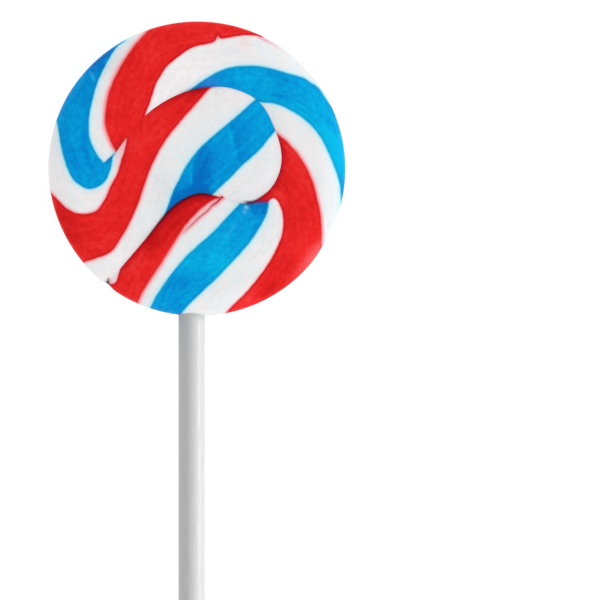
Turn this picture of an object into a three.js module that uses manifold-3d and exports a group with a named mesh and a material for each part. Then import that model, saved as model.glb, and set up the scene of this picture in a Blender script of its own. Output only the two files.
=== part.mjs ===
// Swirl lollipop: a twisted rope of hard candy, folded back round itself, pressed into a disc and set on a
// paper stick. It lies on its back with the swirl up. Millimetres, +Z up.
//
// The origin is the middle of the disc's flat back. +Y points away from the stick and +Z out of the swirl.

import * as THREE from 'three';
import { mergeVertices } from 'three/addons/utils/BufferGeometryUtils.js';
import loadManifold from 'manifold-3d';

// The disc
const DISC_RADIUS = 25;
const DISC_THICKNESS = 10;
const RIM_ROUNDING = 4.5; // how far in from the rim the two faces begin to fall away

// The pressed rope leaves the rim a little out of round: where, how far out, and over how many degrees
const RIM_SWELLS = [
  { angle: 168, height: 0.25, spread: 35 },
  { angle: 90, height: -0.1, spread: 30 },
  { angle: 42, height: -0.12, spread: 8 },
  { angle: -27, height: -0.2, spread: 7 },
  { angle: -90, height: -0.1, spread: 30 },
];

// The seam between the rope's turns is a valley in both faces
const SEAM_DEPTH = 0.7;
const SEAM_HALF_WIDTH = 2.6;
const TAIL_ANGLE = -128; // where the rope's tail meets the rim
const TAIL_NOTCH = { angle: TAIL_ANGLE, height: -0.3, spread: 2.5 };
const FOLD_ANGLE = 135; // where the rope, folded back on itself, has become the outer turn

// The seam's course: from the fold, over the inner lobe to its tip, and back under it to the tail
const SEAM_FROM_FOLD_TO_TAIL = [
  [-15.7, 0.9],
  [-14.0, 2.3],
  [-12.1, 4.8],
  [-8.7, 8.9],
  [-4.3, 11.9],
  [0.2, 13.4],
  [5.5, 13.5],
  [10.5, 11.1],
  [13.2, 6.3],
  [14.2, 1.3],
  [12.6, -3.1],
  [8.6, -5.9],
  [4.6, -5.0],
  [0.7, -4.3],
  [-2.2, -5.2],
  [-5.0, -7.4],
  [-8.7, -11.9],
  [-12.8, -16.7],
];
const TIP_SHARE = 0.525; // how much of the seam lies before the lobe's tip

// The stick
const STICK_DIAMETER = 4.5;
const STICK_LENGTH = 150;
const STICK_INSERTED = 30;
const STICK_OFFSET_X = -1;
const STICK_EDGE = 0.25; // the softened edge of its cut ends
const SOCKET_CLEARANCE = 0.2;

// How finely the shapes are divided
const LOBE_STEPS = 34;
const FOLD_STEPS = 18;
const OUTER_STEPS = 2 * LOBE_STEPS;
const STICK_SIDES = 32;
const INNER_COLUMNS = [0, 0.25, 0.6, 1]; // in half-widths of the seam's valley
const OUTER_COLUMNS = [1, 0.66, 0.38, 0.18, 0.05, 0]; // in widths of the rim's rounding
const MOST_CURVED = 0.9; // the share of a narrow stretch that those columns may take
const FOLD_EASE = 1.5; // over 1, the fold's steps are shorter beside the tail's notch
const MERGE_DISTANCE = 1e-3;

const { lerp, degToRad, radToDeg, clamp } = THREE.MathUtils;

// The disc's outline

function swellAt(angle, swell) {
  const turned = THREE.MathUtils.euclideanModulo(angle - swell.angle + 180, 360) - 180;
  return swell.height * Math.exp(-((turned / swell.spread) ** 2));
}

function outlineRadius(angle) {
  const swells = [...RIM_SWELLS, TAIL_NOTCH];
  return swells.reduce((radius, swell) => radius + swellAt(angle, swell), DISC_RADIUS);
}

function rimPoint(angle) {
  const radius = outlineRadius(angle);
  return new THREE.Vector2(radius, 0).rotateAround(new THREE.Vector2(), degToRad(angle));
}

// The seam, numbered 0 at the fold, 1 at the lobe's tip and 2 at the tail

const seamCurve = new THREE.SplineCurve([
  ...SEAM_FROM_FOLD_TO_TAIL.map(([x, y]) => new THREE.Vector2(x, y)),
  rimPoint(TAIL_ANGLE),
]);

function seamPoint(place) {
  const share = place < 1 ? TIP_SHARE * place : lerp(TIP_SHARE, 1, place - 1);
  return seamCurve.getPointAt(clamp(share, 0, 1));
}

const seamLine = Array.from({ length: 2 * LOBE_STEPS + 1 }, (_, step) => seamPoint(step / LOBE_STEPS));

function distanceToSeam(point) {
  const nearest = new THREE.Vector3();
  const segment = new THREE.Line3();
  const at = new THREE.Vector3(point.x, point.y, 0);
  let distance = Infinity;
  for (let step = 1; step < seamLine.length; step++) {
    segment.start.set(seamLine[step - 1].x, seamLine[step - 1].y, 0);
    segment.end.set(seamLine[step].x, seamLine[step].y, 0);
    segment.closestPointToPoint(at, true, nearest);
    distance = Math.min(distance, nearest.distanceTo(at));
  }
  return distance;
}

// The rope's two sides. It starts at the lobe's tip (0), the fold runs from 1 to 2, and the tail is at 3.

function ropeSides(place) {
  if (place <= 1) {
    return [seamPoint(1 - place), seamPoint(1 + place)];
  }
  if (place <= 2) {
    const turned = (place - 1) ** FOLD_EASE;
    return [seamPoint(0), rimPoint(lerp(TAIL_ANGLE + 360, FOLD_ANGLE, turned))];
  }
  return [seamPoint(2 * (place - 2)), rimPoint(lerp(FOLD_ANGLE, TAIL_ANGLE, place - 2))];
}

function ropePlaces() {
  const evenly = (start, steps) => Array.from({ length: steps }, (_, step) => start + step / steps);
  return [...evenly(0, LOBE_STEPS), ...evenly(1, FOLD_STEPS), ...evenly(2, OUTER_STEPS), 3];
}

// Points across the rope, close together where the faces curve. The lobe has the seam on both its sides.

function acrossRope(place) {
  const [inner, outer] = ropeSides(place);
  const width = inner.distanceTo(outer);
  const outerCurve = lerp(SEAM_HALF_WIDTH, RIM_ROUNDING, Math.min(place, 1));
  const squeeze = Math.min(1, (MOST_CURVED * width) / (SEAM_HALF_WIDTH + outerCurve));
  const distances = [
    ...INNER_COLUMNS.map((column) => squeeze * column * SEAM_HALF_WIDTH),
    ...OUTER_COLUMNS.map((column) => width - squeeze * column * outerCurve),
  ];
  return distances.map((distance) => inner.clone().lerp(outer, width > 0 ? distance / width : 0));
}

// Half of the disc's thickness at a point: a rounded rim, a flat face and the seam's valley

function halfThickness(point) {
  const toRim = outlineRadius(radToDeg(point.angle())) - point.length();
  const rise = clamp(toRim / RIM_ROUNDING, 0, 1);
  const rounded = Math.sqrt(1 - (1 - rise) ** 2);
  const apart = Math.min(distanceToSeam(point) / SEAM_HALF_WIDTH, 1);
  return rounded * (DISC_THICKNESS / 2 - SEAM_DEPTH * (1 - apart) ** 2);
}

// Solids

// Loose triangles joined at their shared corners, without those that shrink to a line or a point
function closedGeometry(positions) {
  const loose = new THREE.BufferGeometry();
  loose.setAttribute('position', new THREE.Float32BufferAttribute(positions, 3));
  const merged = mergeVertices(loose, MERGE_DISTANCE);
  const corners = Array.from(merged.index.array);
  const kept = [];
  for (let corner = 0; corner < corners.length; corner += 3) {
    const triangle = corners.slice(corner, corner + 3);
    if (new Set(triangle).size === 3) {
      kept.push(...triangle);
    }
  }
  merged.setIndex(kept);
  return merged;
}

// The whole rope as one skin: its upper and lower faces meet at the rim, and its turns meet in the seam
function pressedRope() {
  const middle = DISC_THICKNESS / 2;
  const sections = ropePlaces().map((place) =>
    acrossRope(place).map((point) => ({ point, half: halfThickness(point) })),
  );
  const positions = [];
  const addTriangle = (corners, side) => {
    const ordered = side > 0 ? corners : [...corners].reverse();
    ordered.forEach(({ point, half }) => positions.push(point.x, point.y, middle + side * half));
  };
  for (let step = 1; step < sections.length; step++) {
    const [before, after] = [sections[step - 1], sections[step]];
    for (let column = 1; column < before.length; column++) {
      for (const side of [1, -1]) {
        addTriangle([before[column - 1], after[column - 1], after[column]], side);
        addTriangle([before[column - 1], after[column], before[column]], side);
      }
    }
  }
  return closedGeometry(positions);
}

function roundBar(radius, length, edge) {
  const profile = [
    [0, 0],
    [radius - edge, 0],
    [radius, edge],
    [radius, length - edge],
    [radius - edge, length],
    [0, length],
  ].map(([x, y]) => new THREE.Vector2(x, y));
  return new THREE.LatheGeometry(profile, STICK_SIDES);
}

function toManifold(geometry, library) {
  const bare = geometry.clone();
  bare.deleteAttribute('normal');
  bare.deleteAttribute('uv');
  const merged = closedGeometry((bare.index ? bare.toNonIndexed() : bare).attributes.position.array);
  return new library.Manifold(
    new library.Mesh({
      numProp: 3,
      vertProperties: new Float32Array(merged.attributes.position.array),
      triVerts: new Uint32Array(merged.index.array),
    }),
  );
}

function toGeometry(manifold) {
  const mesh = manifold.getMesh();
  const geometry = new THREE.BufferGeometry();
  geometry.setAttribute('position', new THREE.BufferAttribute(mesh.vertProperties, 3));
  geometry.setIndex(new THREE.BufferAttribute(mesh.triVerts, 1));
  geometry.computeVertexNormals();
  return geometry;
}

// The pressed rope with a blind socket for the stick, cut in from outside the rim
function candyGeometry(library) {
  const mouth = -DISC_RADIUS - RIM_ROUNDING;
  const depth = STICK_INSERTED + RIM_ROUNDING + SOCKET_CLEARANCE;
  const socket = roundBar(STICK_DIAMETER / 2 + SOCKET_CLEARANCE, depth, STICK_EDGE);
  socket.translate(STICK_OFFSET_X, mouth, DISC_THICKNESS / 2);
  return toGeometry(toManifold(pressedRope(), library).subtract(toManifold(socket, library)));
}

function stickGeometry() {
  const stick = roundBar(STICK_DIAMETER / 2, STICK_LENGTH, STICK_EDGE);
  return stick.translate(STICK_OFFSET_X, STICK_INSERTED - DISC_RADIUS - STICK_LENGTH, DISC_THICKNESS / 2);
}

// The lollipop

const library = await loadManifold();
library.setup();

const candy = new THREE.Mesh(
  candyGeometry(library),
  new THREE.MeshStandardMaterial({ color: 0xe8504f, roughness: 0.22, metalness: 0 }),
);
candy.name = 'candy';

const stick = new THREE.Mesh(
  stickGeometry(),
  new THREE.MeshStandardMaterial({ color: 0xf4f4f3, roughness: 0.7, metalness: 0 }),
);
stick.name = 'stick';

const group = new THREE.Group();
group.add(candy, stick);

export default group;
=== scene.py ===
"""Looks of the swirl lollipop: a striped rope of hard candy, folded round itself and pressed into a disc,
on a rolled-paper stick. It lies on a pale floor in soft light, and the camera looks straight down at it.

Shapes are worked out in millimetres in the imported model's frame, and turned into metres where a mesh is
made.
"""

import math
from types import SimpleNamespace

import bpy
import numpy as np
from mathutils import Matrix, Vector, noise


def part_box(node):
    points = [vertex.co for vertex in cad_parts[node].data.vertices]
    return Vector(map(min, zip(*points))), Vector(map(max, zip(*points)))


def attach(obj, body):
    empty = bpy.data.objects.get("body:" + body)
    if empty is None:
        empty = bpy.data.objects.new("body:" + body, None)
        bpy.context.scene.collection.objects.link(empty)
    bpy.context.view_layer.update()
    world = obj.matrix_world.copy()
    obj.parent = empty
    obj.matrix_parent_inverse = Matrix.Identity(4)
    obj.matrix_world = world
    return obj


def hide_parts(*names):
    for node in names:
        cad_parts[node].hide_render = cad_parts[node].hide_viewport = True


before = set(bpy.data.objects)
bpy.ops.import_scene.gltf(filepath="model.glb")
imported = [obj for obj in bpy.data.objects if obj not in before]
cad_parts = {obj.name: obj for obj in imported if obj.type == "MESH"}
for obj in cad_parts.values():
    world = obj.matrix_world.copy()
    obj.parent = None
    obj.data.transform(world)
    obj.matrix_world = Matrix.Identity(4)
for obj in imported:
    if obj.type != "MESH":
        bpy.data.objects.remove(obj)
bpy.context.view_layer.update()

MM = 0.001

# ---------------------------------------------------------------- sizes, as in the part's source

candy_low, candy_high = (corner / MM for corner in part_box("candy"))
stick_low, stick_high = (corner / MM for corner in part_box("stick"))
THICKNESS = candy_high.z - candy_low.z
MIDDLE = (candy_high.z + candy_low.z) / 2

DISC_RADIUS = 25.0
RIM_ROUNDING = 4.5
SEAM_DEPTH = 0.7
SEAM_HALF_WIDTH = 2.6
TAIL_ANGLE = -128.0
FOLD_ANGLE = 135.0
TIP_SHARE = 0.525

# Angle, height and spread of each swell of the rim; the last is the notch where the rope's tail ends
RIM_SWELLS = [
    (168, 0.25, 35), (90, -0.1, 30), (42, -0.12, 8), (-27, -0.2, 7), (-90, -0.1, 30),
    (TAIL_ANGLE, -0.3, 2.5),
]
RIM_INSET = 0.015  # keeps the smoother rim inside the faceted solid's box

# The seam from the fold, over the lobe to its tip, and back under it to the tail at the rim
SEAM = [
    (-15.7, 0.9), (-14.0, 2.3), (-12.1, 4.8), (-8.7, 8.9), (-4.3, 11.9), (0.2, 13.4), (5.5, 13.5),
    (10.5, 11.1), (13.2, 6.3), (14.2, 1.3), (12.6, -3.1), (8.6, -5.9), (4.6, -5.0), (0.7, -4.3),
    (-2.2, -5.2), (-5.0, -7.4), (-8.7, -11.9), (-12.8, -16.7),
]

# ---------------------------------------------------------------- the stripes

# Places along the rope: 0 at the lobe's tip, 1 and 2 where the fold starts and ends, 3 at the tail. A
# stripe shows between two places, and lies between two edges that cross the rope from its inner to its
# outer side. The edges run a little past the seam and the rim, which cut them off. Red has run into the
# white, and "soft" is how far along each of the two edges. Blue has hardly run.
STRIPES = [
    {
        "colour": "blue",
        "shows": (0, 1),
        "edges": [
            [(14.5, 7.6), (13.2, 6.3), (12.0, 4.9), (10.85, 3.45), (9.2, 1.85), (7.5, 0.35), (5.2, -2.0),
             (2.8, -4.2), (1.5, -5.4)],
            [(10.8, 12.8), (9.7, 11.5), (6.9, 8.95), (3.55, 6.15), (0.35, 3.25), (-1.95, 0.2),
             (-3.05, -1.95), (-4.1, -4.0), (-5.2, -7.1), (-5.9, -9.0)],
        ],
    },
    {
        "colour": "red",
        "shows": (0, 2),
        "soft": (0.28, 0.25),
        "edges": [
            [(4.5, 16.0), (1.8, 13.1), (-0.3, 10.7), (-2.97, 7.7), (-5.6, 4.25), (-7.65, 0.4), (-8.95, -3.1),
             (-9.95, -6.1), (-11.75, -10.0), (-12.8, -11.7), (-14.0, -13.6), (-15.4, -14.6), (-18.4, -15.6),
             (-21.5, -16.5)],
            [(-11.6, 11.0), (-11.9, 4.6), (-12.8, 1.2), (-13.5, -1.1), (-14.5, -2.9), (-15.4, -5.0),
             (-16.8, -7.0), (-18.4, -7.65), (-20.3, -7.55), (-22.0, -6.7), (-23.2, -5.6), (-24.5, -4.3),
             (-27.0, -2.0)],
        ],
    },
    {
        "colour": "blue",
        "shows": (0.8, 3),
        "edges": [
            [(-14.0, 2.5), (-14.2, 1.8), (-14.3, 1.2), (-14.6, -0.3), (-15.4, -2.1), (-16.6, -3.1),
             (-18.4, -3.5), (-20.1, -2.6), (-21.2, -1.4), (-22.1, 0.7), (-23.0, 4.0), (-23.6, 7.4),
             (-25.5, 14.0)],
            [(-15.7, 0.9), (-16.7, 2.1), (-17.7, 4.0), (-18.2, 6.1), (-18.1, 9.0), (-17.75, 10.8),
             (-17.15, 13.2), (-16.5, 15.1), (-15.4, 17.4), (-14.2, 19.6), (-13.3, 20.8), (-12.0, 21.9),
             (-9.5, 25.5)],
        ],
    },
    {
        "colour": "red",
        "shows": (2, 3),
        "soft": (0.48, 0.17),
        "edges": [
            [(-12.5, 0.5), (-13.7, 2.8), (-14.3, 3.8), (-14.85, 5.1), (-15.5, 7.2), (-15.5, 9.2),
             (-15.1, 11.9), (-14.5, 13.8), (-13.15, 16.7), (-11.0, 20.1), (-8.8, 22.8), (-6.0, 26.0)],
            [(-9.5, 6.0), (-8.7, 9.1), (-8.0, 10.9), (-7.0, 14.0), (-6.1, 15.6), (-4.9, 17.3),
             (-2.5, 19.25), (-1.1, 20.15), (0.4, 20.65), (2.45, 21.1), (3.25, 21.7), (3.55, 22.55),
             (3.95, 21.8), (5.8, 22.1), (7.7, 22.4), (9.2, 22.45), (10.2, 22.35), (11.2, 22.25),
             (13.0, 23.2), (17.0, 26.0)],
        ],
    },
    {
        "colour": "blue",
        "shows": (2, 3),
        "edges": [
            [(-3.0, 11.5), (-0.5, 13.7), (1.2, 14.9), (3.0, 15.95), (4.7, 16.7), (6.5, 17.1), (8.7, 17.25),
             (10.9, 17.1), (13.1, 16.6), (15.6, 15.9), (17.8, 15.3), (19.1, 14.5), (20.6, 13.4),
             (22.8, 10.3), (26.5, 7.5)],
            [(8.5, 11.3), (10.7, 11.1), (13.3, 10.8), (15.6, 9.8), (17.85, 8.35), (19.5, 6.85), (21.0, 4.85),
             (22.3, 2.2), (23.4, -0.6), (24.0, -2.6), (24.2, -4.2), (24.3, -6.2), (24.9, -9.5)],
        ],
    },
    {
        "colour": "red",
        "shows": (2, 3),
        "soft": (0.38, 0.18),
        "edges": [
            [(12.0, 7.0), (13.6, 5.7), (14.8, 4.8), (15.8, 3.7), (16.45, 3.05), (17.3, 1.95), (18.2, 0.5),
             (19.05, -1.2), (19.8, -3.3), (20.3, -5.4), (20.7, -7.1), (20.9, -8.8), (21.0, -10.8),
             (21.0, -12.6), (21.2, -15.5), (21.0, -22.0)],
            [(7.9, -4.5), (8.7, -5.7), (10.6, -5.7), (11.9, -5.65), (12.3, -5.3), (12.8, -5.0),
             (13.3, -5.2), (13.8, -6.0), (14.3, -7.2), (14.5, -8.6), (14.5, -9.9), (14.1, -11.8),
             (12.8, -14.7), (11.0, -17.5), (8.35, -20.8), (5.7, -23.4), (2.0, -27.5)],
        ],
    },
    {
        "colour": "blue",
        "shows": (2, 3),
        "edges": [
            [(8.0, -4.5), (8.7, -5.2), (10.6, -5.2), (11.8, -5.2), (12.0, -6.4), (11.4, -8.4),
             (9.5, -11.6), (7.5, -14.1), (5.5, -16.2), (3.1, -18.75), (1.4, -20.3), (-0.2, -21.8),
             (-1.8, -23.4), (-4.4, -26.5)],
            [(7.6, -4.9), (7.1, -6.0), (5.8, -7.4), (2.9, -10.5), (-0.3, -13.4), (-1.7, -14.7),
             (-3.3, -16.5), (-5.0, -18.7), (-7.0, -21.7), (-8.8, -25.2)],
        ],
    },
    {
        "colour": "red",
        "shows": (2, 3),
        "soft": (0.45, 0.16),
        "edges": [
            [(5.5, -4.2), (3.9, -4.95), (2.4, -5.55), (0.75, -6.8), (-0.6, -8.1), (-2.0, -9.7),
             (-3.2, -11.5), (-4.5, -13.6), (-7.0, -17.5), (-9.25, -21.0), (-10.8, -24.5)],
            [(3.5, -2.5), (-3.0, -3.5), (-8.0, -9.0), (-12.0, -14.3), (-12.8, -16.4), (-13.2, -17.8),
             (-13.5, -18.8), (-13.9, -19.3), (-14.6, -19.5), (-16.0, -19.7)],
        ],
    },
]
OUTSIDE = -5.0  # the depth given to a stripe that doesn't show at a place
SOFT_ELSEWHERE = 0.2  # how far red has run where no red stripe shows
HALF_TWIST = 28.0  # how far a stripe moves along the rope's outer side while it crosses one face
TWIST_AT_RIM = 0.35  # how much of that lean a stripe has where it passes over the rim

# Soft spots on the swirl side, each with x, y, reach and strength. A tone above 0 is thinner pigment, and
# below 0 denser. The spots that make the white brightest are painted light, and rosy and cool ones are where
# it has taken on a colour. Violet is a tint of the blue, the fleck is a painted highlight on it, and the
# shade spots are a painted shadow in the notch where the rope's tail ends.
SPOTS = {
    "painted_light": [
        (-4.5, 15.5, 5.5, 1.0),
        (2.5, 16.5, 5.0, 0.6),
        (-15.0, 17.5, 3.0, 0.8),
        (-14.5, -17.0, 3.5, 0.6),
        (-18.0, -7.0, 4.0, 0.5),
        (-24.0, -1.0, 3.0, 0.5),
        (-6.0, 12.0, 3.0, 0.5),
        (14.5, -3.0, 2.5, 0.6),
        (15.0, -7.0, 2.5, 0.5),
        (12.5, -14.5, 4.5, 0.6),
        (22.0, 2.0, 3.0, 0.4),
    ],
    "rosy": [
        (-12.0, 4.6, 1.0, 0.9),
        (-12.7, 3.1, 1.2, 0.7),
        (-13.3, 1.4, 0.9, 0.3),
        (-15.8, -3.2, 2.2, 0.10),
        (-13.0, -10.0, 2.0, 0.06),
        (-13.0, -18.0, 2.0, 0.07),
        (-9.0, -3.0, 2.0, 0.05),
        (-13.6, 0.2, 0.8, 0.20),
        (-14.6, -18.9, 0.6, 0.45),
        (8.0, 21.5, 1.2, 0.22),
    ],
    "cool": [
        (25.0, -5.0, 3.5, 0.18),
        (-1.0, 1.5, 2.5, 0.15),
        (2.0, 5.0, 2.0, 0.09),
        (17.5, 16.5, 2.5, 0.08),
        (10.0, -10.0, 2.5, 0.08),
        (-5.0, -7.0, 2.5, 0.07),
        (-9.0, -21.0, 2.5, 0.08),
        (-2.5, -13.5, 2.5, 0.06),
    ],
    "tone": [
        (1.5, 2.0, 1.6, -0.5),
        (0.9, -0.5, 1.8, -0.6),
        (0.2, -3.2, 2.0, -0.7),
        (-3.2, -5.0, 2.4, -0.5),
        (10.6, 6.8, 2.4, 0.3),
        # Partly painted shade: this spot makes the blue denser at the top left rim, where shade falls
        (-15.6, 18.4, 3.2, -1.1),
        (-15.3, 18.2, 0.5, 1.2),
        (-17.2, 11.4, 1.2, -0.5),
        (2.0, 14.2, 3.0, -0.1),
        (10.0, 14.5, 5.0, 0.3),
        (20.0, 8.5, 5.5, 0.55),
        (24.0, 2.0, 5.0, 0.8),
        (2.0, -14.0, 6.5, 0.4),
        (4.5, -17.0, 2.5, 0.7),
        (-2.5, -15.5, 2.5, 0.5),
        (-23.0, -8.0, 2.0, -0.6),
        (-22.3, -11.0, 2.5, -0.6),
        (11.0, -6.6, 1.8, -0.8),
        (-2.4, -19.2, 1.5, -0.3),
        (-0.8, -6.8, 3.0, -0.8),
        (-4.2, -9.3, 2.6, -0.7),
        (-6.8, -12.4, 2.6, -0.8),
        (-1.0, 12.2, 2.5, -0.4),
        (-8.0, 4.0, 4.0, 0.2),
        (14.9, -2.0, 1.8, -0.4),
        (13.3, -4.9, 1.2, 0.6),
        (17.0, -7.4, 2.6, -0.3),
        (19.3, -14.3, 1.5, 0.5),
        (8.4, -22.0, 2.6, 0.5),
        (12.2, -20.8, 2.2, -0.7),
        (15.8, -16.8, 2.2, -0.4),
        (-6.2, -3.2, 3.5, -0.5),
    ],
    "violet": [(1.8, 14.0, 1.8, 0.4)],
    "painted_glint": [(8.3, -6.6, 0.30, 0.85), (8.05, -7.3, 0.3, 0.30)],
    # Painted shadow in the notch where the rope's tail ends
    "shade": [(-15.2, -19.35, 0.36, 1.3), (-15.0, -18.75, 0.26, 0.8)],
}
SPOT_FADE = 4.0  # how far over the rim they reach

# Fine lines on the swirl side. The strengths of each are evenly spaced from its start to its end.
FINE_LINES = {
    "hair": {
        "half_width": 0.34,
        "course": [
            (4.4, -4.75), (3.75, -5.3), (3.35, -5.7), (2.45, -6.4), (2.0, -6.9), (1.5, -7.4),
            (0.85, -7.9), (0.15, -8.5), (-0.7, -9.35), (-1.9, -10.5), (-2.7, -11.5),
        ],
        "strengths": (0.9, 0.95, 0.65, 0.6, 0.6, 0.55, 0.4, 0.0),
    },
    "blush": {
        "half_width": 0.45,
        "course": [(10.2, 22.3), (11.1, 21.8), (12.3, 21.2), (13.4, 20.5), (14.9, 19.4), (15.9, 18.5)],
        "strengths": (0.8, 0.75, 0.4, 0.15, 0.08, 0.0),
    },
    "join": {
        "half_width": 0.50,
        "course": [(7.3, -5.8), (8.8, -5.75), (10.4, -5.7), (12.1, -5.6)],
        "strengths": (0.0, 0.9, 0.8, 0.7, 0.3),
    },
    "scratch": {
        "half_width": 0.50,
        "course": [(8.1, -7.3), (7.5, -8.4), (6.3, -9.8), (5.1, -11.2), (4.45, -12.15)],
        "strengths": (0.25, 0.10, 0.06, 0.28, 0.22, 0.26, 0.0),
    },
    "streak": {
        "half_width": 0.50,
        "course": [(-18.2, 16.6), (-17.7, 15.6), (-17.0, 14.3)],
        "strengths": (0.0, 0.5, 0.5, 0.0),
    },
    # Painted highlight: the red made paler along the lower right rim, where light falls on it
    "painted_rim_highlight": {
        "half_width": 1.9,
        "course": [(22.1, -11.3), (21.3, -12.8), (20.3, -14.2), (19.0, -15.9), (17.2, -17.8), (15.3, -19.5)],
        "strengths": (0.0, 0.18, 0.18, 0.07, 0.0),
    },
}

# ---------------------------------------------------------------- how finely the candy is divided

LOBE_STEPS = 180
FOLD_STEPS = 110
OUTER_STEPS = 2 * LOBE_STEPS
FOLD_EASE = 1.5  # over 1, the fold's steps are shorter beside the tail's notch
SEAM_STEPS = 24  # from one of the seam's points to the next
LINE_STEPS = 6  # the same, for a stripe's edge, a fine line or a wrinkle
# Columns of points across the rope: in half-widths of the seam's valley, and in widths of the rim's rounding
INNER_COLUMNS = np.array([0, 0.04, 0.08, 0.13, 0.19, 0.27, 0.38, 0.52, 0.67, 0.83, 1])
RIM_COLUMNS = 16
OUTER_COLUMNS = 1 - np.cos(np.radians(np.linspace(90, 0, RIM_COLUMNS)))
FLAT_COLUMNS = 22  # and those between the two
MOST_CURVED = 0.9  # the share of a narrow stretch that the curved columns may take
WELD_DECIMALS = 4  # points that are the same to this many decimals of a millimetre become one
TINY = 1e-9  # in place of a length of nothing that something is divided by


def spline(points, steps):
    """A smooth line through points: the uniform Catmull-Rom curve."""
    points = np.asarray(points, float)
    padded = np.vstack([points[:1], points, points[-1:]])
    share = np.linspace(0, 1, steps, endpoint=False)[:, None]
    spans = []
    for before, start, end, after in zip(padded, padded[1:], padded[2:], padded[3:]):
        leave = (end - before) / 2
        arrive = (after - start) / 2
        cubic = 2 * (start - end) + leave + arrive
        square = 3 * (end - start) - 2 * leave - arrive
        spans.append(((cubic * share + square) * share + leave) * share + start)
    return np.vstack([*spans, points[-1:]])


def lengths_along(line):
    return np.concatenate([[0], np.cumsum(np.linalg.norm(np.diff(line, axis=0), axis=-1))])


def points_along(line, shares):
    """Points at these shares of the line's length."""
    lengths = lengths_along(line)
    at = np.clip(shares, 0, 1) * lengths[-1]
    return np.stack([np.interp(at, lengths, axis) for axis in line.T], -1)


def nearest_on(line, points):
    """How far each point is from a line, and at which share of the line's length."""
    lengths = lengths_along(line)
    nearest = np.full(len(points), np.inf)
    shares = np.zeros(len(points))
    for start, end, so_far in zip(line, line[1:], lengths):
        side = end - start
        length = np.linalg.norm(side)
        along = np.clip((points - start) @ side / max(length ** 2, TINY), 0, 1)
        gap = np.linalg.norm(points - start - along[:, None] * side, axis=1)
        closer = gap < nearest
        nearest[closer] = gap[closer]
        shares[closer] = (so_far + along[closer] * length) / lengths[-1]
    return nearest, shares


def mix(start, end, share):
    return start + (end - start) * share


def soft_spots(points, spots):
    total = np.zeros(len(points))
    for x, y, reach, strength in spots:
        away = np.linalg.norm(points - (x, y), axis=1)
        total += strength * np.exp(-((away / reach) ** 2))
    return total


# ---------------------------------------------------------------- the disc and the rope in it

def outline_radius(angle):
    """The disc's radius at an angle in degrees."""
    radius = DISC_RADIUS - RIM_INSET
    for centre, height, spread in RIM_SWELLS:
        turned = (angle - centre + 180) % 360 - 180
        radius = radius + height * np.exp(-((turned / spread) ** 2))
    return radius


def rim_point(angle):
    turn = np.radians(angle)
    return outline_radius(angle)[..., None] * np.stack([np.cos(turn), np.sin(turn)], -1)


seam_line = spline([*SEAM, tuple(rim_point(np.array(TAIL_ANGLE)))], SEAM_STEPS)


def seam_point(place):
    """A point of the seam: 0 at the fold, 1 at the lobe's tip, 2 at the tail."""
    before_tip = TIP_SHARE * place
    after_tip = mix(TIP_SHARE, 1, place - 1)
    return points_along(seam_line, np.where(place < 1, before_tip, after_tip))


def rope_sides(place):
    """The rope's inner and outer side at places along it."""
    on_lobe = place <= 1
    on_fold = (place > 1) & (place <= 2)
    inner = seam_point(np.where(on_lobe, 1 - place, np.where(on_fold, 0, 2 * (place - 2))))
    fold_angle = mix(TAIL_ANGLE + 360, FOLD_ANGLE, np.clip(place - 1, 0, 1) ** FOLD_EASE)
    outer_angle = np.where(on_fold, fold_angle, mix(FOLD_ANGLE, TAIL_ANGLE, place - 2))
    outer = np.where(on_lobe[:, None], seam_point(1 + place), rim_point(outer_angle))
    return inner, outer


def rope_places():
    return np.concatenate([
        np.arange(LOBE_STEPS) / LOBE_STEPS,
        1 + np.arange(FOLD_STEPS) / FOLD_STEPS,
        2 + np.arange(OUTER_STEPS) / OUTER_STEPS,
        [3],
    ])


def shares_across(place, width):
    """How far across the rope each column of points lies, 0 at its inner and 1 at its outer side."""
    outer_curve = mix(SEAM_HALF_WIDTH, RIM_ROUNDING, np.minimum(place, 1))
    squeeze = np.minimum(1, MOST_CURVED * width / (SEAM_HALF_WIDTH + outer_curve))
    inner = (squeeze * SEAM_HALF_WIDTH)[:, None] * INNER_COLUMNS
    outer = width[:, None] - (squeeze * outer_curve)[:, None] * OUTER_COLUMNS
    flat = np.linspace(0, 1, FLAT_COLUMNS + 2)[1:-1]
    between = mix(inner[:, -1:], outer[:, :1], flat)
    distances = np.hstack([inner, between, outer])
    return distances / np.maximum(width, TINY)[:, None]


def inside(points, outline):
    """Whether each point lies inside a closed outline."""
    crossings = np.zeros(len(points), int)
    x, y = points.T
    for (x0, y0), (x1, y1) in zip(outline, np.roll(outline, -1, axis=0)):
        between = (y0 > y) != (y1 > y)
        reach = x0 + (y - y0) * (x1 - x0) / (y1 - y0 if y1 != y0 else 1)
        crossings += between & (x < reach)
    return crossings % 2 == 1


def stripe_fields(points, place):
    """How deep each point lies in a red and in a blue stripe, below 0 outside them, and how soft red is."""
    depths = {"red": np.full(len(points), OUTSIDE), "blue": np.full(len(points), OUTSIDE)}
    softness = np.full(len(points), SOFT_ELSEWHERE)
    for stripe in STRIPES:
        near, far = (spline(edge, LINE_STEPS) for edge in stripe["edges"])
        to_near = nearest_on(near, points)[0]
        to_far = nearest_on(far, points)[0]
        distance = np.minimum(to_near, to_far)
        within = inside(points, np.vstack([near, far[::-1]]))
        first, last = stripe["shows"]
        depth = np.where(within, distance, -distance)
        depth[(place < first) | (place > last)] = OUTSIDE
        known = depths[stripe["colour"]]
        if stripe["colour"] == "red":
            soft = mix(*stripe["soft"], to_near / np.maximum(to_near + to_far, TINY))
            softness = np.where(depth > known, soft, softness)
        depths[stripe["colour"]] = np.maximum(known, depth)
    return {"red_depth": depths["red"], "blue_depth": depths["blue"], "red_soft": softness}
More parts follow.
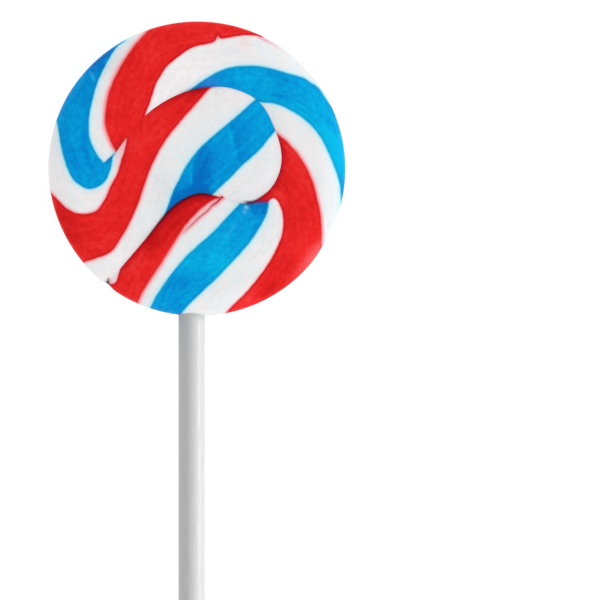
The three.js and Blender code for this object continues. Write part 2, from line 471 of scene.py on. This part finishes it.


# ---------------------------------------------------------------- relief of the two faces

# Shares of the seam's length from the fold to the tail, and how strong these are there: its valley, the
# crease, which is the sharp line at its bottom and also sets how strong its painted shade is, and the
# painted shade of darker red beside it
VALLEY_ALONG = [(0, 0.3), (0.13, 0.35), (0.22, 0.8), (0.5, 0.8), (0.7, 1.0), (1, 1.0)]
CREASE_ALONG = [
    (0, 0.1), (0.02, 0.3), (0.035, 0.35), (0.055, 0.2), (0.08, 0.08), (0.10, 0.05), (0.21, 0.08),
    (0.235, 0.7), (0.265, 0.6), (0.30, 0.08), (0.585, 0.08), (0.60, 0.5), (0.628, 0.8), (0.64, 0.06),
    (0.695, 0.05), (0.71, 0.7), (0.73, 1.0), (0.82, 1.0), (0.85, 0.6), (0.885, 0.15), (0.93, 0.08),
    (0.99, 0.05), (0.995, 0.4), (1, 1),
]
# Painted shade: how strong the darker red beside the crease is along the seam
CREASE_SHADE_RED_ALONG = [
    (0, 0), (0.025, 0), (0.04, 0.7), (0.055, 0.6), (0.066, 0), (0.12, 0), (0.16, 0.6), (0.25, 0.6),
    (0.30, 0.1), (0.42, 0.1), (0.46, 0.7), (0.58, 0.7), (0.62, 0.5), (0.70, 0.7), (0.74, 1), (0.85, 1),
    (0.89, 0.6), (1, 0.6),
]
# The crease's depth and half width, then its painted shade: the dark line's widths, the denser tone round it
# and how far that reaches, and the width of the darker red beside it
CREASE_DEPTH = 0.22
CREASE_HALF_WIDTH = 0.45
CREASE_SHADE_WIDTHS = (0.27, 0.50)  # on the lobe's and the fold's side of the seam, and on the outer turn's
CREASE_SHADE_TONE = -0.5
CREASE_SHADE_TONE_REACH = 1.2
CREASE_SHADE_RED_WIDTH = 1.1

# Faint lines in the swirl side alone, from their upper to their lower end
WRINKLES = [[(5.1, 7.9), (5.7, 5.9), (6.3, 3.6), (7.3, 0.2)], [(-1.0, 1.4), (-0.8, -0.8), (-1.0, -3.6)]]
WRINKLE_DEPTH = 0.07
WRINKLE_HALF_WIDTH = 0.8
# The painted light and shade beside them, a painted highlight along each and a lit and a shaded side, as
# tone: strength, reach and side, which is 1 or -1, or 0 for both
WRINKLE_PAINTED_LIGHT_AND_SHADE = [(0.8, 0.22, 0), (0.25, 1.6, -1), (-0.6, 1.6, 1)]

UNEVEN = 0.07  # how far the pressed faces sag between their high spots
UNEVEN_LENGTH = 7.0
UNEVEN_APART = 40  # how far up or down in the noise each of the two faces is taken from
LOOK_AHEAD = 0.01  # the share of a line's length over which its direction is taken


def along_seam(profile, share):
    places, strengths = zip(*profile)
    return np.interp(share, places, strengths)


def by_line(line, points):
    """How far each point is from a line, below 0 on the line's right, and at which share of its length."""
    curve = spline(line, LINE_STEPS)
    gap, share = nearest_on(curve, points)
    ahead = points_along(curve, share + LOOK_AHEAD) - points_along(curve, share - LOOK_AHEAD)
    away = points - points_along(curve, share)
    on_left = ahead[:, 0] * away[:, 1] > ahead[:, 1] * away[:, 0]
    return np.where(on_left, gap, -gap), share


def nearness(gap, width):
    """1 on a line, and evenly less beside it until it is 0 at this distance."""
    return np.clip(1 - gap / width, 0, 1)


def wrinkles(points):
    """How deep the wrinkles are at each point, and the painted light and shade beside them, as tone."""
    depth = np.zeros(len(points))
    tone = np.zeros(len(points))
    for line in WRINKLES:
        signed_gap, share = by_line(line, points)
        gap = np.abs(signed_gap)
        ends = np.sin(np.pi * share) ** 0.5
        depth = np.maximum(depth, WRINKLE_DEPTH * ends * nearness(gap, WRINKLE_HALF_WIDTH) ** 2)
        for strength, reach, side in WRINKLE_PAINTED_LIGHT_AND_SHADE:
            there = signed_gap * side >= 0
            tone += strength * ends * there * np.exp(-gap / reach)
    return depth, tone


def unevenness(points, side):
    """A gentle waviness from 0 to 1, unlike on the two faces."""
    places = [Vector((x, y, UNEVEN_APART * side)) / UNEVEN_LENGTH for x, y in points]
    return np.array([0.5 + 0.5 * noise.noise(place) for place in places])


def half_thickness(points, seam_gap, seam_share, side):
    """How far a face lies from the disc's middle plane: the upper face, side 1, or the lower, side -1."""
    angle = np.degrees(np.arctan2(points[:, 1], points[:, 0]))
    to_rim = outline_radius(angle) - np.linalg.norm(points, axis=1)
    rise = np.clip(to_rim / RIM_ROUNDING, 0, 1)
    rounded = np.sqrt(1 - (1 - rise) ** 2)
    valley_depth = SEAM_DEPTH * along_seam(VALLEY_ALONG, seam_share)
    crease_depth = CREASE_DEPTH * along_seam(CREASE_ALONG, seam_share)
    valley = valley_depth * nearness(seam_gap, SEAM_HALF_WIDTH) ** 2
    crease = crease_depth * nearness(seam_gap, CREASE_HALF_WIDTH) ** 2
    low = valley + crease + UNEVEN * unevenness(points, side)
    if side > 0:
        low = low + wrinkles(points)[0]
    return rounded * (THICKNESS / 2 - low)


# ---------------------------------------------------------------- meshes

def new_object(name, vertices, faces):
    mesh = bpy.data.meshes.new(name)
    mesh.from_pydata((np.asarray(vertices) * MM).tolist(), [], faces)
    mesh.shade_smooth()
    item = bpy.data.objects.new(name, mesh)
    bpy.context.scene.collection.objects.link(item)
    return item


def corner_attribute(item, name, values):
    attribute = item.data.attributes.new(name, "FLOAT", "CORNER")
    attribute.data.foreach_set("value", np.asarray(values, np.float32))


def grid_faces(rows, columns, upward):
    """The corners of each cell of a grid of points, counted row by row."""
    row, column = np.meshgrid(np.arange(rows - 1), np.arange(columns - 1), indexing="ij")
    first = (row * columns + column).ravel()
    cells = np.stack([first, first + columns, first + columns + 1, first + 1], 1)
    return cells if upward else cells[:, ::-1]


def weld(points):
    """Which points to keep of those that lie together, and each point's number among the kept ones."""
    rounded = np.round(points, WELD_DECIMALS)
    _, kept, welded = np.unique(rounded, axis=0, return_index=True, return_inverse=True)
    return kept, welded.ravel()


def welded_faces(cells, welded):
    """Faces of the cells that aren't welded to a line or a point, and the unwelded point of each corner."""
    faces, corners = [], []
    for cell in cells:
        joined = {}
        for corner in cell:
            joined.setdefault(int(welded[corner]), int(corner))
        if len(joined) > 2:
            faces.append(list(joined))
            corners.extend(joined.values())
    return faces, corners


# ---------------------------------------------------------------- the candy

def way_from_rim(face):
    """How far each point is from the rope's outer side, along a face that has a row of points across it."""
    steps = np.linalg.norm(np.diff(face[:, ::-1], axis=1), axis=-1)
    return np.hstack([np.zeros((len(face), 1)), np.cumsum(steps, axis=1)])[:, ::-1]


def back_fields(front, outer, travelled):
    """The stripes go on over the rim, and lean more and more as they cross the back."""
    outer_length = lengths_along(outer)
    share = travelled / np.maximum(travelled[:, :1], TINY)
    at = outer_length[:, None] - HALF_TWIST * mix(share ** 2, share, TWIST_AT_RIM)
    return {
        name: np.interp(at.ravel(), outer_length, field.reshape(travelled.shape)[:, -1])
        for name, field in front.items()
    }


def spot_fields(flat, showing):
    """The soft spots, by how much of the swirl side's looks is showing."""
    return {name: showing * soft_spots(flat, spots) for name, spots in SPOTS.items()}


def seam_fields(seam_gap, seam_share, shade_width):
    """The crease's painted shade: a dark line in it, and darker red beside it, the same on both faces."""
    return {
        "seam_shade": along_seam(CREASE_ALONG, seam_share) * nearness(seam_gap, shade_width),
        "crease_shade_red": along_seam(CREASE_SHADE_RED_ALONG, seam_share) * nearness(seam_gap, CREASE_SHADE_RED_WIDTH),
    }


def painted_crease_shade(seam_gap, seam_share):
    """Painted shade round the crease, as a denser colour."""
    fading = np.exp(-((seam_gap / CREASE_SHADE_TONE_REACH) ** 2))
    return CREASE_SHADE_TONE * along_seam(CREASE_ALONG, seam_share) * fading


def line_fields(flat, showing):
    """How far each fine line is from each point, and how strong the line is beside it."""
    fields = {}
    for name, line in FINE_LINES.items():
        gap, share = by_line(line["course"], flat)
        strength = np.interp(share, np.linspace(0, 1, len(line["strengths"])), line["strengths"])
        strength[(share <= 0) | (share >= 1)] = 0
        fields[name + "_gap"] = gap
        fields[name] = strength * showing
    return fields


def make_candy():
    """The pressed rope as one skin. Its turns share the seam's points, but each has its own stripes."""
    place = rope_places()
    inner, outer = rope_sides(place)
    across = shares_across(place, np.linalg.norm(outer - inner, axis=1))
    rows, columns = across.shape
    flat = (inner[:, None] + across[..., None] * (outer - inner)[:, None]).reshape(-1, 2)
    seam_gap, seam_share = nearest_on(seam_line, flat)
    upper = np.column_stack([flat, MIDDLE + half_thickness(flat, seam_gap, seam_share, 1)])
    lower = np.column_stack([flat, MIDDLE - half_thickness(flat, seam_gap, seam_share, -1)])

    travelled = way_from_rim(lower.reshape(rows, columns, 3))
    past_rim = np.exp(-((travelled / SPOT_FADE) ** 2)) * (place >= 1)[:, None]
    shade_width = np.repeat(np.where(place < 2, *CREASE_SHADE_WIDTHS), columns)
    front = stripe_fields(flat, np.repeat(place, columns))
    back = back_fields(front, outer, travelled)
    for fields, showing in ((front, 1), (back, past_rim.ravel())):
        fields.update(spot_fields(flat, showing))
        fields["tone"] += painted_crease_shade(seam_gap, seam_share)
        fields.update(seam_fields(seam_gap, seam_share, shade_width))
        fields.update(line_fields(flat, showing))
    # painted light and shade beside the wrinkles
    front["tone"] += wrinkles(flat)[1]

    points = np.vstack([upper, lower])
    kept, welded = weld(points)
    upper_cells = grid_faces(rows, columns, upward=True)
    lower_cells = grid_faces(rows, columns, upward=False) + len(flat)
    faces, corners = welded_faces(np.vstack([upper_cells, lower_cells]), welded)
    candy = new_object("candy_swirl", points[kept], faces)
    for name in front:
        corner_attribute(candy, name, np.concatenate([front[name], back[name]])[corners])
    return candy


# ---------------------------------------------------------------- the stick

STICK_SIDES = 96
PAPER = 0.28  # one layer of the rolled paper
RINGS_TO_A_LAYER = 5
PAPER_STEP = 0.035  # how far the paper's outer edge stands proud along the stick
PAPER_EDGE_TURN = math.radians(205)  # where round the stick that edge lies
ROLL_GROOVE = 0.06  # how deep the groove between two layers is
ROLL_HOLE = 0.3  # the radius of the pinhole in the middle
ROLL_HOLE_DEPTH = 1.5
ROLL_HOLE_MIDDLE = 0.006  # the radius of the innermost ring, at the hole's bottom
END_ROUNDING = 0.22
ROUNDING_RINGS = 6


def end_profile(radius):
    """The rings of one end, from the middle out, as radius and depth. The rolled face has no one depth."""
    rolled_radii = np.arange(ROLL_HOLE, radius - END_ROUNDING, PAPER / RINGS_TO_A_LAYER)
    bend = np.radians(np.linspace(90, 0, ROUNDING_RINGS))
    return [
        (ROLL_HOLE_MIDDLE, ROLL_HOLE_DEPTH),
        (ROLL_HOLE, ROLL_HOLE_DEPTH),
        *((r, None) for r in rolled_radii),
        *((radius - END_ROUNDING * (1 - math.cos(b)), END_ROUNDING * (1 - math.sin(b))) for b in bend),
    ]


def end_rings(tip, inwards):
    """Rings of points on the end at tip, from the middle out. Inwards is 1 or -1 along the stick."""
    radius = (stick_high.x - stick_low.x) / 2
    axis_x = (stick_high.x + stick_low.x) / 2
    axis_z = (stick_high.z + stick_low.z) / 2
    turn = np.linspace(0, 2 * math.pi, STICK_SIDES, endpoint=False)
    rolled = (turn - PAPER_EDGE_TURN) % (2 * math.pi) / (2 * math.pi)
    skin = radius - PAPER_STEP * rolled
    rings = []
    for ring_radius, depth in end_profile(radius):
        reach = skin * ring_radius / radius
        layer = (ring_radius / PAPER + rolled) % 1
        groove = ROLL_GROOVE * (1 - np.sin(layer * math.pi)) ** 2
        depths = groove if depth is None else np.full(STICK_SIDES, depth)
        rings.append(np.column_stack([
            axis_x + reach * np.cos(turn),
            tip + inwards * depths,
            axis_z + reach * np.sin(turn),
        ]))
    return rings


def make_stick():
    """A tightly rolled paper stick: the paper's edge is a faint line, and its layers show at the ends."""
    loops = [*end_rings(stick_low.y, 1), *reversed(end_rings(stick_high.y, -1))]
    vertices = np.vstack(loops)
    faces = []
    for ring in range(len(loops) - 1):
        for step in range(STICK_SIDES):
            here = ring * STICK_SIDES + step
            beside = ring * STICK_SIDES + (step + 1) % STICK_SIDES
            faces.append([here, here + STICK_SIDES, beside + STICK_SIDES, beside])
    last = len(vertices) - STICK_SIDES
    faces.append(list(range(STICK_SIDES)))
    faces.append([last + step for step in reversed(range(STICK_SIDES))])
    return new_object("stick_paper", vertices, faces)


# ---------------------------------------------------------------- materials

def add(tree, kind, inputs=None, **settings):
    """A shader node with its settings, and its inputs as numbers or as sockets to link."""
    made = tree.nodes.new("ShaderNode" + kind)
    for name, value in settings.items():
        setattr(made, name, value)
    for name, value in (inputs or {}).items():
        if isinstance(value, bpy.types.NodeSocket):
            tree.links.new(value, made.inputs[name])
        else:
            made.inputs[name].default_value = value
    return made


def maths(tree, operation, *values):
    """A Math node's result. MULTIPLY_ADD takes three values, most others two."""
    return add(tree, "Math", dict(enumerate(values)), operation=operation).outputs[0]


def fade(tree, value, low, high, low_value=0.0, high_value=1.0, kind="SMOOTHSTEP"):
    """A step of value between low and high, smooth unless kind says LINEAR."""
    ends = {"From Min": low, "From Max": high, "To Min": low_value, "To Max": high_value}
    return add(tree, "MapRange", {"Value": value, **ends}, interpolation_type=kind).outputs[0]


def ramp(tree, value, low, high):
    return fade(tree, value, low, high, kind="LINEAR")


def blend(tree, amount, first, second):
    """Two colours mixed. The sockets go by number, as those for other kinds of value have the same names."""
    values = {0: amount, 6: first, 7: second}
    return add(tree, "Mix", values, data_type="RGBA").outputs[2]


def layered(tree, colour, layers):
    """A colour with others laid over it, each by its own amount."""
    for amount, over in layers:
        colour = blend(tree, amount, colour, over)
    return colour


def scaled(tree, vector, factors):
    return add(tree, "VectorMath", {0: vector, 1: factors}, operation="MULTIPLY").outputs[0]


def new_material(name):
    material = bpy.data.materials.new(name)
    material.use_nodes = True
    tree = material.node_tree
    return material, tree, tree.nodes["Principled BSDF"]


def millimetres(tree):
    return scaled(tree, add(tree, "TexCoord").outputs["Object"], (1 / MM,) * 3)


def noise_at(tree, vector, scale, detail=3.0, roughness=0.55):
    settings = {"Vector": vector, "Scale": scale, "Detail": detail, "Roughness": roughness}
    return add(tree, "TexNoise", settings).outputs["Fac"]


def field(tree, name):
    return add(tree, "Attribute", attribute_name=name).outputs["Fac"]


WHITE_WARM = (0.900, 0.878, 0.878, 1)
WHITE_COOL = (0.855, 0.888, 0.908, 1)
WHITE_PAINTED_LIGHT = (0.975, 0.935, 0.940, 1)
WHITE_SHADE = (0.78, 0.79, 0.81, 1)
RED = (0.86, 0.0200, 0.0200, 1)
RED_DEEP = (0.61, 0.009, 0.011, 1)
RED_PALE = (0.93, 0.050, 0.052, 1)
RED_EDGE = (0.40, 0.003, 0.016, 1)
BLUE = (0.002, 0.320, 0.740, 1)
BLUE_DEEP = (0.002, 0.165, 0.570, 1)
BLUE_PALE = (0.003, 0.50, 0.83, 1)
BLUE_EDGE = (0.005, 0.290, 0.50, 1)
BLUE_BRIGHT = (0.03, 0.55, 0.98, 1)
VIOLET = (0.050, 0.210, 0.76, 1)
PINK = (1.0, 0.46, 0.50, 1)
CYAN = (0.44, 0.85, 0.98, 1)
CYAN_EDGE = (0.25, 0.78, 0.93, 1)
CRIMSON = (0.47, 0.015, 0.040, 1)
BLUSH = (0.88, 0.32, 0.48, 1)
JOIN_SHADE = (0.10, 0.035, 0.16, 1)
# Painted shade, in the crease and in the notch at the tail's end
SEAM_SHADE = (0.07, 0.006, 0.022, 1)

# Patterns in the candy, by how many of their spots there are to a millimetre
WANDER_SCALE = 0.9
WHITES_SCALE = 0.3
CLOUD_SCALE = 0.20
SPECK_SCALE = 1.1
GRAIN_SCALE = 1.3
STREAK_ACROSS = 1.2  # across the stripes, which they are drawn out along
STREAK_ALONG = 0.22
FINE_DETAIL = 4.0  # how many times smaller spots are added to the spots
WANDER = 0.20  # how far the stripes' edges wander, from side to side
MOTTLE = 1.6  # how much more the streaks and the specks weigh than the clouds
MOTTLE_MEAN = 2.1

# Fades: from one value to another, and between which strengths where those aren't 0 and 1. The values are
# tones, noises, depths in a stripe in millimetres, and for a run depths over how far the colour has run.
DENSE_TONES = (0.0, -1.0)
THIN_TONES = (0.0, 1.0)
SHADE_TONES = (0.2, -1.0)
WHITE_PATCHES = (0.4, 0.6)
HAZE_RUN = (-3.2, -0.6)
HAZE_PATCHES = (0.35, 0.60, 0.05, 0.30)
PINK_RUN = (-1.7, -0.5, 0.0, 0.9)
CYAN_HAZE = (-1.2, -0.1, 0.0, 0.35)
CYAN_FRINGE = (-0.36, -0.06, 0.0, 0.9)
EDGE_STARTS = (0.0, 0.18)
EDGE_ENDS = (0.50, 0.22)
EDGE_PATCHES = (0.35, 0.60, 0.25, 0.60)
EDGE_WHERE_SHARP = (0.45, 0.20, 0.2, 1.0)
BLUE_BORDER = (-0.12, 0.13)
RED_BORDER = (-0.8, 0.5)
CANDY_ROUGHNESS = (0.35, 0.7, 0.24, 0.36)

LINE_CORE = 0.1  # how much of a fine line's half width has its full strength
HALO_WIDTH = 2.5  # how many times wider than the hair its halo is
HALO_STRENGTH = 1.5
CREASE_SHADE_RED_STRENGTH = 0.9
# how dark the crease's painted shade line is
SEAM_STRENGTH = 0.85
STREAK_RELIEF = 0.6
GRAIN_RELIEF = 0.4
CANDY_BUMP = {"Distance": 0.05 * MM, "Strength": 0.6}
CANDY_IOR = 1.5
CANDY_SPECULAR = 0.004

PAPER_LIGHT = (0.49, 0.49, 0.49, 1)
PAPER_DARK = (0.46, 0.46, 0.465, 1)
FIBRE_SCALES = (3.0, 0.35, 3.0)  # fine round the stick and long along it
FIBRE_NOISE = {"detail": 5.0, "roughness": 0.6}
PAPER_PATCHES = (0.35, 0.7)
PAPER_ROUGHNESS = (0.3, 0.7, 0.42, 0.52)
PAPER_BUMP = {"Distance": 0.02 * MM, "Strength": 0.4}

WHITE_LIGHT = (1, 1, 1, 1)
FLOOR_GREY = (0.18, 0.18, 0.18, 1)
FLOOR_ROUGHNESS = 0.9
FLOOR_SPECULAR = 0.1
FLOOR_GLOW = 0.89


def edge_line(tree, depth, patches):
    """A thin line just inside a stripe's edge, where its colour is densest, patchy as the candy is."""
    line = maths(tree, "MULTIPLY", fade(tree, depth, *EDGE_STARTS), fade(tree, depth, *EDGE_ENDS))
    return maths(tree, "MULTIPLY", line, fade(tree, patches, *EDGE_PATCHES))


def fine_line(tree, name, wander, widened=1.0):
    """A fine line of colour, strongest in its middle."""
    half_width = FINE_LINES[name]["half_width"] * widened
    gap = maths(tree, "ABSOLUTE", maths(tree, "ADD", field(tree, name + "_gap"), wander))
    return maths(tree, "MULTIPLY", fade(tree, gap, half_width, LINE_CORE * half_width), field(tree, name))


def candy_patterns(tree):
    """What the candy's colours are mixed by: depths in the stripes, and streaks, clouds and specks."""
    place = millimetres(tree)
    wander_noise = noise_at(tree, place, WANDER_SCALE, FINE_DETAIL)
    wander = maths(tree, "MULTIPLY_ADD", wander_noise, WANDER, -WANDER / 2)
    red = maths(tree, "ADD", field(tree, "red_depth"), wander)
    blue = maths(tree, "ADD", field(tree, "blue_depth"), wander)
    depths = add(tree, "CombineXYZ", {"X": red, "Y": blue}).outputs[0]
    across = scaled(tree, depths, (STREAK_ACROSS, STREAK_ACROSS, 0.0))
    along = scaled(tree, place, (STREAK_ALONG,) * 3)
    drawn = add(tree, "VectorMath", {0: across, 1: along}, operation="ADD").outputs[0]
    streak = noise_at(tree, drawn, 1.0)
    cloud = noise_at(tree, place, CLOUD_SCALE)
    speck = noise_at(tree, place, SPECK_SCALE)
    mottle = maths(tree, "MULTIPLY_ADD", streak, MOTTLE, maths(tree, "MULTIPLY_ADD", speck, MOTTLE, cloud))
    tone = maths(tree, "ADD", field(tree, "tone"), maths(tree, "SUBTRACT", mottle, MOTTLE_MEAN))
    red_run = maths(tree, "DIVIDE", red, field(tree, "red_soft"))
    return SimpleNamespace(
        place=place, wander=wander, red=red, blue=blue, red_run=red_run,
        streak=streak, cloud=cloud, speck=speck, tone=tone,
    )


def white_candy(tree, pattern):
    """White, warmer and cooler in patches, with pink and cyan where the stripes have run into it."""
    patches = fade(tree, noise_at(tree, pattern.place, WHITES_SCALE), *WHITE_PATCHES)
    hazy = fade(tree, pattern.cloud, *HAZE_PATCHES)
    haze = maths(tree, "MULTIPLY", fade(tree, pattern.red_run, *HAZE_RUN), hazy)
    halo = fine_line(tree, "hair", pattern.wander, widened=HALO_WIDTH)
    return layered(tree, blend(tree, patches, WHITE_WARM, WHITE_COOL), [
        # Painted light: the white made brighter in spots
        (field(tree, "painted_light"), WHITE_PAINTED_LIGHT),
        (ramp(tree, pattern.tone, *SHADE_TONES), WHITE_SHADE),
        (haze, PINK),
        (fade(tree, pattern.red_run, *PINK_RUN), PINK),
        (field(tree, "rosy"), PINK),
        (field(tree, "cool"), CYAN),
        (fade(tree, pattern.blue, *CYAN_HAZE), CYAN),
        (fade(tree, pattern.blue, *CYAN_FRINGE), CYAN_EDGE),
        (fine_line(tree, "blush", pattern.wander), BLUSH),
        (maths(tree, "MULTIPLY", halo, HALO_STRENGTH), PINK),
        (fine_line(tree, "hair", pattern.wander), CRIMSON),
    ])


def red_candy(tree, pattern):
    """Red, with a denser line along its sharper edges, painted shade of darker red beside the seam, and a
    painted highlight near the lower right rim.
    """
    sharp = fade(tree, field(tree, "red_soft"), *EDGE_WHERE_SHARP)
    edge = maths(tree, "MULTIPLY", edge_line(tree, pattern.red, pattern.speck), sharp)
    # painted shade: the red made darker beside the crease
    crease_shade_red = maths(tree, "MULTIPLY", field(tree, "crease_shade_red"), CREASE_SHADE_RED_STRENGTH)
    return layered(tree, RED, [
        (ramp(tree, pattern.tone, *DENSE_TONES), RED_DEEP),
        (ramp(tree, pattern.tone, *THIN_TONES), RED_PALE),
        (maths(tree, "MAXIMUM", edge, crease_shade_red), RED_EDGE),
        # painted highlight near the lower right rim
        (fine_line(tree, "painted_rim_highlight", pattern.wander), PINK),
    ])


def blue_candy(tree, pattern):
    """Blue, with a denser line along its edges, two bright scratches and a painted highlight."""
    return layered(tree, BLUE, [
        (ramp(tree, pattern.tone, *DENSE_TONES), BLUE_DEEP),
        (ramp(tree, pattern.tone, *THIN_TONES), BLUE_PALE),
        (edge_line(tree, pattern.blue, pattern.speck), BLUE_EDGE),
        (field(tree, "violet"), VIOLET),
        (fine_line(tree, "scratch", pattern.wander), BLUE_BRIGHT),
        (fine_line(tree, "streak", pattern.wander), BLUE_BRIGHT),
        # Painted highlight: a small pale glint in the blue
        (field(tree, "painted_glint"), CYAN_EDGE),
    ])


def candy_material():
    """Hard candy: red and blue let into white, and painted shade in the crease where its turns meet."""
    material, tree, shader = new_material("striped_candy")
    pattern = candy_patterns(tree)
    colour = layered(tree, white_candy(tree, pattern), [
        (fade(tree, pattern.blue, *BLUE_BORDER), blue_candy(tree, pattern)),
        (fade(tree, pattern.red_run, *RED_BORDER), red_candy(tree, pattern)),
        (fine_line(tree, "join", pattern.wander), JOIN_SHADE),
        # Painted shade: a dark line along the crease, and a dark spot in the notch where the rope's tail
        # ends
        (maths(tree, "MULTIPLY", field(tree, "seam_shade"), SEAM_STRENGTH), SEAM_SHADE),
        (field(tree, "shade"), SEAM_SHADE),
    ])
    tree.links.new(colour, shader.inputs["Base Color"])

    grain = noise_at(tree, pattern.place, GRAIN_SCALE, FINE_DETAIL)
    fine_relief = maths(tree, "MULTIPLY", grain, GRAIN_RELIEF)
    relief = maths(tree, "MULTIPLY_ADD", pattern.streak, STREAK_RELIEF, fine_relief)
    bump = add(tree, "Bump", {"Height": relief, **CANDY_BUMP})
    tree.links.new(bump.outputs[0], shader.inputs["Normal"])
    tree.links.new(fade(tree, grain, *CANDY_ROUGHNESS), shader.inputs["Roughness"])
    shader.inputs["IOR"].default_value = CANDY_IOR
    shader.inputs["Specular IOR Level"].default_value = CANDY_SPECULAR
    return material


def stick_material():
    """Satin white paper with fine fibres along the stick."""
    material, tree, shader = new_material("rolled_paper")
    fibre = noise_at(tree, scaled(tree, millimetres(tree), FIBRE_SCALES), 1.0, **FIBRE_NOISE)
    colour = blend(tree, fade(tree, fibre, *PAPER_PATCHES), PAPER_LIGHT, PAPER_DARK)
    tree.links.new(colour, shader.inputs["Base Color"])
    bump = add(tree, "Bump", {"Height": fibre, **PAPER_BUMP})
    tree.links.new(bump.outputs[0], shader.inputs["Normal"])
    tree.links.new(fade(tree, fibre, *PAPER_ROUGHNESS), shader.inputs["Roughness"])
    return material


def floor_material():
    """Pale and matt, with a glow of its own that brings it up to the photograph's white background."""
    material, _, shader = new_material("pale_floor")
    shader.inputs["Base Color"].default_value = FLOOR_GREY
    shader.inputs["Roughness"].default_value = FLOOR_ROUGHNESS
    shader.inputs["Specular IOR Level"].default_value = FLOOR_SPECULAR
    shader.inputs["Emission Color"].default_value = WHITE_LIGHT
    shader.inputs["Emission Strength"].default_value = FLOOR_GLOW
    return material


# ---------------------------------------------------------------- stage, light and camera

# Metres, unless a comment says millimetres
FLOOR_HALF = 6.0
PHOTO_SIDE = 600
PIXEL = 0.169  # millimetres of the disc's middle plane to a pixel of the photograph
DISC_PIXEL = (197.0, 168.2)  # the pixel that the disc's centre is at
CAMERA_HEIGHT = 1.2
CAMERA_REACH = 50
SENSOR = 0.036
SKY_OVERHEAD = 0.64  # the sky's strength straight above
SKY_ROUND = 0.45  # how much stronger it is at the horizon
SKY_RIGHT = 0.16  # and how much more so at the right
KEY_PLACE = (0.40, -0.25, 0.88)
KEY_WIDTH = 0.60
KEY_STRENGTH = 0.16
STICK_BEAM = 0.575  # the beam's strength
STICK_BEAM_FROM = (0.94, 0, 0.342)
STICK_BEAM_SIZE = 0.001
STICK_BEAM_HALF = 62.5  # millimetres of the stick to each side of the beam's middle
STICK_BEAM_OVERLAP = 1.2  # millimetres of the disc that the beam's soft edge falls on
STICK_BEAM_EDGE = 0.063  # how much of the beam is its soft edge


def make_floor():
    side = FLOOR_HALF / MM
    corners = [(-side, -side, 0), (side, -side, 0), (side, side, 0), (-side, side, 0)]
    floor = new_object("floor", corners, [[0, 1, 2, 3]])
    floor.data.materials.append(floor_material())


def aim(item, target):
    item.rotation_euler = (Vector(target) - item.location).to_track_quat("-Z", "Y").to_euler()


def add_softbox(name, place, width, strength):
    """A round soft light. A white surface that faces it gets this strength from it."""
    lamp = bpy.data.lights.new(name, "AREA")
    lamp.shape = "DISK"
    lamp.size = width
    lamp.energy = strength * math.pi ** 2 * Vector(place).length_squared
    box = bpy.data.objects.new(name, lamp)
    bpy.context.scene.collection.objects.link(box)
    box.location = place
    aim(box, (0, 0, 0))


def add_stick_beam():
    """A narrow beam from the right that falls on the stick, and gives its round side its shading."""
    middle = Vector((0, -(DISC_RADIUS + STICK_BEAM_HALF - STICK_BEAM_OVERLAP) * MM, MIDDLE * MM))
    away = Vector(STICK_BEAM_FROM)
    lamp = bpy.data.lights.new("stick_beam", "SPOT")
    lamp.spot_size = 2 * math.atan(STICK_BEAM_HALF * MM / away.length)
    lamp.spot_blend = STICK_BEAM_EDGE
    lamp.shadow_soft_size = STICK_BEAM_SIZE
    lamp.energy = STICK_BEAM * 4 * math.pi ** 2 * away.length_squared
    beam = bpy.data.objects.new("stick_beam", lamp)
    bpy.context.scene.collection.objects.link(beam)
    beam.location = middle + away
    aim(beam, middle)


def make_light():
    """Soft light from all round, a little brighter low down and on the right, a soft box and a beam."""
    world = bpy.data.worlds.new("studio")
    world.use_nodes = True
    tree = world.node_tree
    direction = add(tree, "SeparateXYZ", {0: add(tree, "TexCoord").outputs["Generated"]}).outputs
    brighter = maths(tree, "MULTIPLY_ADD", direction["X"], SKY_RIGHT, SKY_OVERHEAD + SKY_ROUND)
    strength = maths(tree, "MULTIPLY_ADD", direction["Z"], -SKY_ROUND, brighter)
    tree.links.new(strength, tree.nodes["Background"].inputs["Strength"])
    tree.nodes["Background"].inputs["Color"].default_value = WHITE_LIGHT
    bpy.context.scene.world = world
    add_softbox("key", KEY_PLACE, KEY_WIDTH, KEY_STRENGTH)
    add_stick_beam()


def make_camera():
    """Straight above the middle of the photograph's frame, so far up that the disc shows no perspective."""
    camera = bpy.data.cameras.new("camera")
    camera.sensor_width = SENSOR / MM
    to_disc = CAMERA_HEIGHT - MIDDLE * MM
    camera.lens = SENSOR / MM * to_disc / (PHOTO_SIDE * PIXEL * MM)
    camera.clip_end = CAMERA_REACH
    item = bpy.data.objects.new("camera", camera)
    bpy.context.scene.collection.objects.link(item)
    centre_pixel = (PHOTO_SIDE - 1) / 2
    centre_x = (centre_pixel - DISC_PIXEL[0]) * PIXEL * MM
    centre_y = (DISC_PIXEL[1] - centre_pixel) * PIXEL * MM
    item.location = (centre_x, centre_y, CAMERA_HEIGHT)
    bpy.context.scene.camera = item


# ---------------------------------------------------------------- the scene

candy = make_candy()
candy.data.materials.append(candy_material())
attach(candy, "root")
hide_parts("candy")

stick = make_stick()
stick.data.materials.append(stick_material())
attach(stick, "root")
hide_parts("stick")

make_floor()
make_light()
make_camera()
bpy.context.scene.view_settings.view_transform = "Standard"
